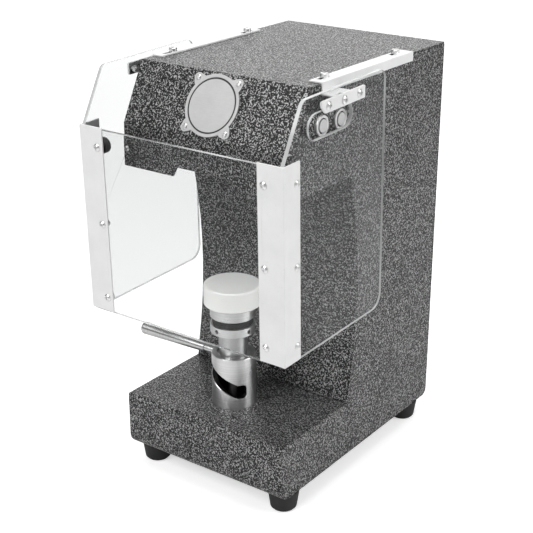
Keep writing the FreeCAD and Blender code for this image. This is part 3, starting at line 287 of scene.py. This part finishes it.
def nylon(name, centre):
    """Off-white nylon bar, turned: soft sheen, faint tool rings, light passing a little way in."""
    s = Sheet(name)
    p = s.split(s.vec("SUBTRACT", s.coord, tuple(centre)))
    track = s.join(s.vec("LENGTH", s.join(p[0], p[1], 0.0)), 0.0, p[2])
    ring = s.noise(track, 2600.0, 2.0, 0.55)
    haze = s.noise(s.coord, 38.0, 3.0, 0.5)
    s.set(Base_Color=s.ramp(haze, [(0.3, (0.88, 0.88, 0.86)), (0.7, (0.93, 0.93, 0.91))]))
    s.set(Roughness=s.ramp(ring, [(0.3, 0.30), (0.7, 0.44)]), Subsurface_Weight=0.25)
    s.set(Subsurface_Radius=(0.006, 0.0055, 0.005), Subsurface_Scale=1.0)
    s.set(Normal=s.bump(ring, 0.16, 0.00008))
    return s.mat


def moulded(name, colour=(0.022, 0.022, 0.023), rough=0.42, grain=1900.0):
    """Spark-eroded plastic grain."""
    s = Sheet(name)
    fine = s.noise(s.coord, grain, 2.0, 0.6)
    patch = s.noise(s.coord, 55.0, 3.0, 0.6)
    s.set(Base_Color=s.ramp(patch, [(0.3, [c * 0.82 for c in colour]), (0.7, [c * 1.25 for c in colour])]))
    s.set(Roughness=s.ramp(fine, [(0.3, rough - 0.08), (0.7, rough + 0.1)]))
    s.set(Normal=s.bump(fine, 0.25, 0.00008))
    return s.mat


def brushed(name, tone=0.62, rough=0.3, along=(0.03, 1.0, 1.0)):
    """Sheet metal brushed one way."""
    s = Sheet(name)
    lines = s.noise(s.scaled(s.coord, *along), 2600.0, 3.0, 0.65)
    patch = s.noise(s.coord, 26.0, 4.0, 0.6)
    s.set(Base_Color=s.ramp(lines, [(0.3, tone * 0.86), (0.5, tone), (0.7, min(1.0, tone * 1.1))]), Metallic=1.0)
    s.set(Roughness=s.ramp(patch, [(0.3, rough + 0.06), (0.7, rough - 0.05)]))
    s.set(Normal=s.bump(lines, 0.2, 0.00006))
    return s.mat


def medal(name, centre):
    """Satin plate with a blackened ring round a plain field."""
    s = Sheet(name)
    p = s.vec("SUBTRACT", s.coord, tuple(centre))
    c = s.split(p)
    across = s.math("DIVIDE", c[2], SLOPE_SINE)
    r = s.vec("LENGTH", s.join(c[0], across, 0.0))
    lines = s.noise(s.scaled(s.coord, 0.04, 1.0, 1.0), 2200.0, 3.0, 0.6)
    cloud = s.noise(s.coord, 40.0, 3.0, 0.6)
    face = s.blend(0.5, s.ramp(lines, [(0.3, 0.50), (0.7, 0.62)]), s.ramp(cloud, [(0.3, 0.50), (0.7, 0.60)]))
    ring = s.ramp(s.math("MULTIPLY", r, 10.0), [(0.330, 0.0), (0.333, 1.0), (0.349, 1.0), (0.352, 0.0)])
    s.set(Base_Color=s.blend(ring, face, (0.02, 0.02, 0.02)), Metallic=0.25)
    s.set(Roughness=s.ramp(lines, [(0.3, 0.52), (0.7, 0.42)]), Normal=s.bump(lines, 0.12, 0.00006))
    return s.mat


def clear(name):
    """Clear polycarbonate sheet that lets lamps through, with the faint haze and hairlines of use."""
    s = Sheet(name)
    haze = s.noise(s.coord, 16.0, 3.0, 0.55)
    hair = s.noise(s.scaled(s.coord, 1.0, 1.0, 0.08), 900.0, 2.0, 0.7, 0.4)
    s.set(Base_Color=(0.82, 0.825, 0.825, 1.0), Transmission_Weight=1.0, IOR=1.22)
    s.set(Roughness=s.math("ADD", s.math("MULTIPLY", haze, 0.012), s.math("MULTIPLY", hair, 0.006)))
    path = s.nt.nodes.new("ShaderNodeLightPath")
    through = s.nt.nodes.new("ShaderNodeBsdfTransparent")
    through.inputs[0].default_value = (0.92, 0.925, 0.925, 1.0)
    mix = s.nt.nodes.new("ShaderNodeMixShader")
    s.link(path.outputs["Is Shadow Ray"], mix.inputs[0])
    s.link(s.bsdf.outputs[0], mix.inputs[1])
    s.link(through.outputs[0], mix.inputs[2])
    s.link(mix.outputs[0], s.out.inputs["Surface"])
    return s.mat


def edge_frost_and_painted_highlight(name, low=0.84, high=0.93, through=0.4):
    """The polished cut edge of the clear sheet: milky partly as its own frosting and partly as a painted highlight,
    bright where light leaves it.
    """
    s = Sheet(name)
    lines = s.noise(s.scaled(s.coord, 1.0, 1.0, 1.0), 1400.0, 2.0, 0.6)
    # Milky white base colour with part transmission: the edge's frosting plus a painted edge highlight.
    s.set(Base_Color=s.ramp(lines, [(0.3, (low, low + 0.012, low + 0.012)), (0.7, (high, high + 0.01, high + 0.01))]), Transmission_Weight=through, IOR=1.25)
    s.set(Roughness=s.ramp(lines, [(0.3, 0.14), (0.7, 0.22)]), Normal=s.bump(lines, 0.05, 0.0001))
    return s.mat


def middle(node):
    lo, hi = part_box(node)
    return (lo + hi) / 2


badge_low, badge_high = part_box("badge_plate")
SLOPE_SINE = (badge_high.z - badge_low.z) / math.hypot(badge_high.z - badge_low.z, badge_high.y - badge_low.y)
lift = middle("cam_sleeve")
motor = middle("motor_shaft")
MADE = {}


def once(key, make, *args, **kw):
    if key not in MADE:
        MADE[key] = make(key, *args, **kw)
    return MADE[key]


def finish_of(node):
    slot = SLOT[node]
    if slot == "hammertone_paint":
        return once("hammered_paint", hammered)
    if slot == "white_paint":
        return once("white_satin_paint", powder, tone=0.86, rough=0.38)
    if slot == "clear_plastic":
        return once("clear_sheet", clear)
    if slot == "white_nylon":
        return once("turned_nylon", nylon, lift)
    if slot == "foot_rubber":
        return once("foot_rubber_black", rubber)
    if slot == "buffer_rubber":
        return once("buffer_rubber_black", rubber, tone=0.006, rough=0.5, grain=2400.0)
    if slot == "belt_rubber":
        return once("belt_rubber_black", rubber, tone=0.02, rough=0.7, grain=1200.0)
    if slot == "zinc_screw":
        return once("zinc_plate", plated, tone=0.92, rough=0.3)
    if slot == "badge_metal":
        return once("badge_aluminium", medal, middle("badge_plate"))
    if slot == "frame_paint":
        return once("frame_satin_paint", powder, tone=0.14, rough=0.42, metallic=0.3)
    if slot == "machined_steel":
        return once("ground_steel", ground)
    if slot == "spring_steel":
        return once("drawn_wire", plated, tone=0.42, rough=0.3)
    if slot == "motor_paint":
        return once("motor_enamel", powder, tone=0.05, rough=0.4, metallic=0.2)
    if slot == "pulley_aluminium":
        key = "turned_aluminium_" + ("drive" if node == "driven_pulley" else "motor")
        return once(key, turned, lift if node == "driven_pulley" else motor, tone=0.7, rough=0.3, pitch=3000.0)
    if slot == "black_plastic":
        return once("black_moulding", moulded)
    if slot == "supply_case":
        return once("supply_sheet", brushed, tone=0.5, rough=0.36)
    if slot == "board_green":
        return once("board_resin", moulded, colour=(0.03, 0.16, 0.07), rough=0.35, grain=700.0)
    if slot == "stainless":
        if node == "lever_handle":
            return once("turned_steel_lever", turned, middle(node), "x", tone=0.66, rough=0.13, pitch=3800.0)
        if node in ("button_front", "button_rear"):
            return once("button_cap_satin", powder, tone=0.66, rough=0.36, metallic=0.35)
        if node == "button_bezels":
            return once("bezel_steel", plated, tone=0.86, rough=0.34)
        if node in ("first_seaming_roller", "second_seaming_roller", "motor_shaft"):
            return once("turned_steel_" + node, turned, middle(node), "z", tone=0.6, rough=0.2)
        if node == "cam_sleeve":
            return once("turned_steel_sleeve", turned, lift, "z", tone=0.76, rough=0.12, bore=0.0288)
        # Stem and thrust bearing, seen down the dark slot, get a dark steel tone of 0.16 as painted shade.
        if node in ("lift_stem", "thrust_bearing"):
            return once("greased_steel", turned, lift, "z", tone=0.16, rough=0.22)
        if node == "plunger":
            return once("turned_steel_plunger", turned, lift, "z", tone=0.62, rough=0.16)
        return once("turned_steel_lift", turned, lift, "z", tone=0.76, rough=0.12)
    raise ValueError(slot)


def dress(obj, mat):
    obj.data.materials.clear()
    obj.data.materials.append(mat)


for name in NODES:
    o = NODES[name]
    mat = finish_of(name)
    if o.data.materials:
        for i in range(len(o.data.materials)):
            o.material_slots[i].link = "OBJECT"
            o.material_slots[i].material = mat
    else:
        o.data.materials.append(mat)


# ------------------------------------------------------------------ edges eased on sheet parts
def soften(node, width, angle=35.0, steps=2, round_piece=False):
    """A copy of a CAD node whose sharp edges are rounded by width."""
    src = NODES[node]
    bm = bmesh.new()
    bm.from_mesh(src.data)
    bmesh.ops.remove_doubles(bm, verts=bm.verts, dist=2e-6)
    bmesh.ops.dissolve_limit(bm, angle_limit=math.radians(0.6), verts=bm.verts, edges=bm.edges)
    mesh = bpy.data.meshes.new(node + "_eased")
    bm.to_mesh(mesh)
    bm.free()
    o = bpy.data.objects.new(node + "_eased", mesh)
    bpy.context.scene.collection.objects.link(o)
    m = o.modifiers.new("ease", "BEVEL")
    m.width = width
    m.segments = steps
    m.limit_method = "ANGLE"
    m.angle_limit = math.radians(angle)
    m.use_clamp_overlap = False
    m.miter_outer = "MITER_ARC"
    dg = bpy.context.evaluated_depsgraph_get()
    made = bpy.data.meshes.new_from_object(o.evaluated_get(dg))
    o.modifiers.clear()
    o.data = made
    work = bmesh.new()
    work.from_mesh(made)
    plain = [f.normal.copy() for f in work.faces if f.calc_area() > 2e-4]
    for f in work.faces:
        level = any(abs(f.normal.dot(n)) > 0.99999 for n in plain)
        f.smooth = round_piece or (f.calc_area() < 2.5e-5 and not level)
    for e in work.edges:
        e.smooth = len(e.link_faces) == 2 and e.calc_face_angle(0.0) < math.radians(20.0 if round_piece else 48.0)
    work.to_mesh(made)
    work.free()
    dress(o, finish_of(node))
    if SLOT[node] == "clear_plastic":
        # The front sheet's edge gets a darker copy of the painted edge highlight than the wing edges get.
        if node == "guard_front":
            o.data.materials.append(once("clear_front_edge", edge_frost_and_painted_highlight, low=0.56, high=0.68, through=0.8))
        else:
            o.data.materials.append(once("clear_wing_edge", edge_frost_and_painted_highlight))
        main = max(made.polygons, key=lambda f: f.area).normal.copy()
        for f in made.polygons:
            if abs(f.normal.dot(main)) < 0.97:
                f.material_index = 1
    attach(o, HOME[node])
    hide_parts(node)
    return o


for node, width in (
    ("head_cover", 0.0007), ("base_cover", 0.0007), ("side_panel_left", 0.0004), ("side_panel_right", 0.0004),
    ("guard_posts", 0.0005), ("rail_left", 0.0004), ("rail_right", 0.0004), ("hinge_plates", 0.0005),
    ("guard_front", 0.0005), ("guard_side_left", 0.0005), ("guard_side_right", 0.0005),
):
    soften(node, width)
soften("cam_sleeve", 0.0005, steps=1, round_piece=True)


# ------------------------------------------------------------------ floor, lamps and sky
def straight(nt):
    """1 for what the eye sees straight or through a clear sheet, and 0 for light that has been scattered or mirrored."""
    path = nt.nodes.new("ShaderNodeLightPath")

    def step(op, a, b, clamp=False):
        n = nt.nodes.new("ShaderNodeMath")
        n.operation = op
        n.use_clamp = clamp
        for socket, value in ((n.inputs[0], a), (n.inputs[1], b)):
            if isinstance(value, bpy.types.NodeSocket):
                nt.links.new(value, socket)
            else:
                socket.default_value = value
        return n.outputs[0]

    bounced = step("ADD", path.outputs["Diffuse Depth"], path.outputs["Glossy Depth"], True)
    clean = step("SUBTRACT", 1.0, bounced, True)
    return step("MULTIPLY", step("MAXIMUM", path.outputs["Is Camera Ray"], path.outputs["Is Transmission Ray"]), clean)


def card(name, size):
    mesh = bpy.data.meshes.new(name)
    h = size / 2
    n = 24
    verts = [(-h + size * i / n, -h + size * j / n, 0.0) for j in range(n + 1) for i in range(n + 1)]
    faces = [(j * (n + 1) + i, j * (n + 1) + i + 1, (j + 1) * (n + 1) + i + 1, (j + 1) * (n + 1) + i) for j in range(n) for i in range(n)]
    mesh.from_pydata(verts, [], faces)
    o = bpy.data.objects.new(name, mesh)
    bpy.context.scene.collection.objects.link(o)
    return o


floor = card("floor", 40.0)
s = Sheet("floor_paper")
grain = s.noise(s.coord, 60.0, 3.0, 0.6)
s.set(Base_Color=s.ramp(grain, [(0.3, 0.86), (0.7, 0.90)]), Roughness=0.9, Specular_IOR_Level=0.1)
glow = s.nt.nodes.new("ShaderNodeEmission")
glow.inputs[0].default_value = (1.0, 1.0, 1.0, 1.0)
far = s.ramp(s.math("MULTIPLY", s.vec("LENGTH", s.coord), 0.2), [(0.36, 0.55), (0.9, 0.84)], True)
s.link(s.math("MULTIPLY", straight(s.nt), far), glow.inputs[1])
both = s.nt.nodes.new("ShaderNodeAddShader")
s.link(s.bsdf.outputs[0], both.inputs[0])
s.link(glow.outputs[0], both.inputs[1])
s.link(both.outputs[0], s.out.inputs["Surface"])
dress(floor, s.mat)


def lamp(name, at, toward, size, power, tall=None):
    data = bpy.data.lights.new(name, "AREA")
    data.shape = "RECTANGLE"
    data.size = size
    data.size_y = tall or size
    data.energy = power
    o = bpy.data.objects.new(name, data)
    o.location = at
    o.rotation_mode = "QUATERNION"
    o.rotation_quaternion = (Vector(toward) - Vector(at)).to_track_quat("-Z", "Y")
    o.visible_camera = False
    bpy.context.scene.collection.objects.link(o)
    return o


lamp("key", (-0.5, -2.3, 2.2), (0.0, -0.05, 0.3), 1.5, 46.0, 1.5)
lamp("fill", (1.9, 0.7, 1.1), (0.0, 0.1, 0.3), 1.0, 20.5, 1.6)
lamp("rear", (-1.75, 2.35, 1.35), (0.0, 0.0, 0.45), 2.6, 17.0, 1.6)
lamp("top", (0.1, 0.1, 2.4), (0.0, 0.0, 0.3), 1.6, 22.5)

world = bpy.data.worlds.new("studio")
bpy.context.scene.world = world
world.use_nodes = True
wt = world.node_tree
wt.nodes.clear()
wout = wt.nodes.new("ShaderNodeOutputWorld")
seen = wt.nodes.new("ShaderNodeBackground")
lit = wt.nodes.new("ShaderNodeBackground")
seen.inputs[0].default_value = (1.0, 1.0, 1.0, 1.0)
seen.inputs[1].default_value = 1.0
lit.inputs[0].default_value = (1.0, 1.0, 1.0, 1.0)
lit.inputs[1].default_value = 0.21
wmix = wt.nodes.new("ShaderNodeMixShader")
wt.links.new(straight(wt), wmix.inputs[0])
wt.links.new(lit.outputs[0], wmix.inputs[1])
wt.links.new(seen.outputs[0], wmix.inputs[2])
wt.links.new(wmix.outputs[0], wout.inputs["Surface"])
bpy.context.scene.view_settings.view_transform = "Standard"
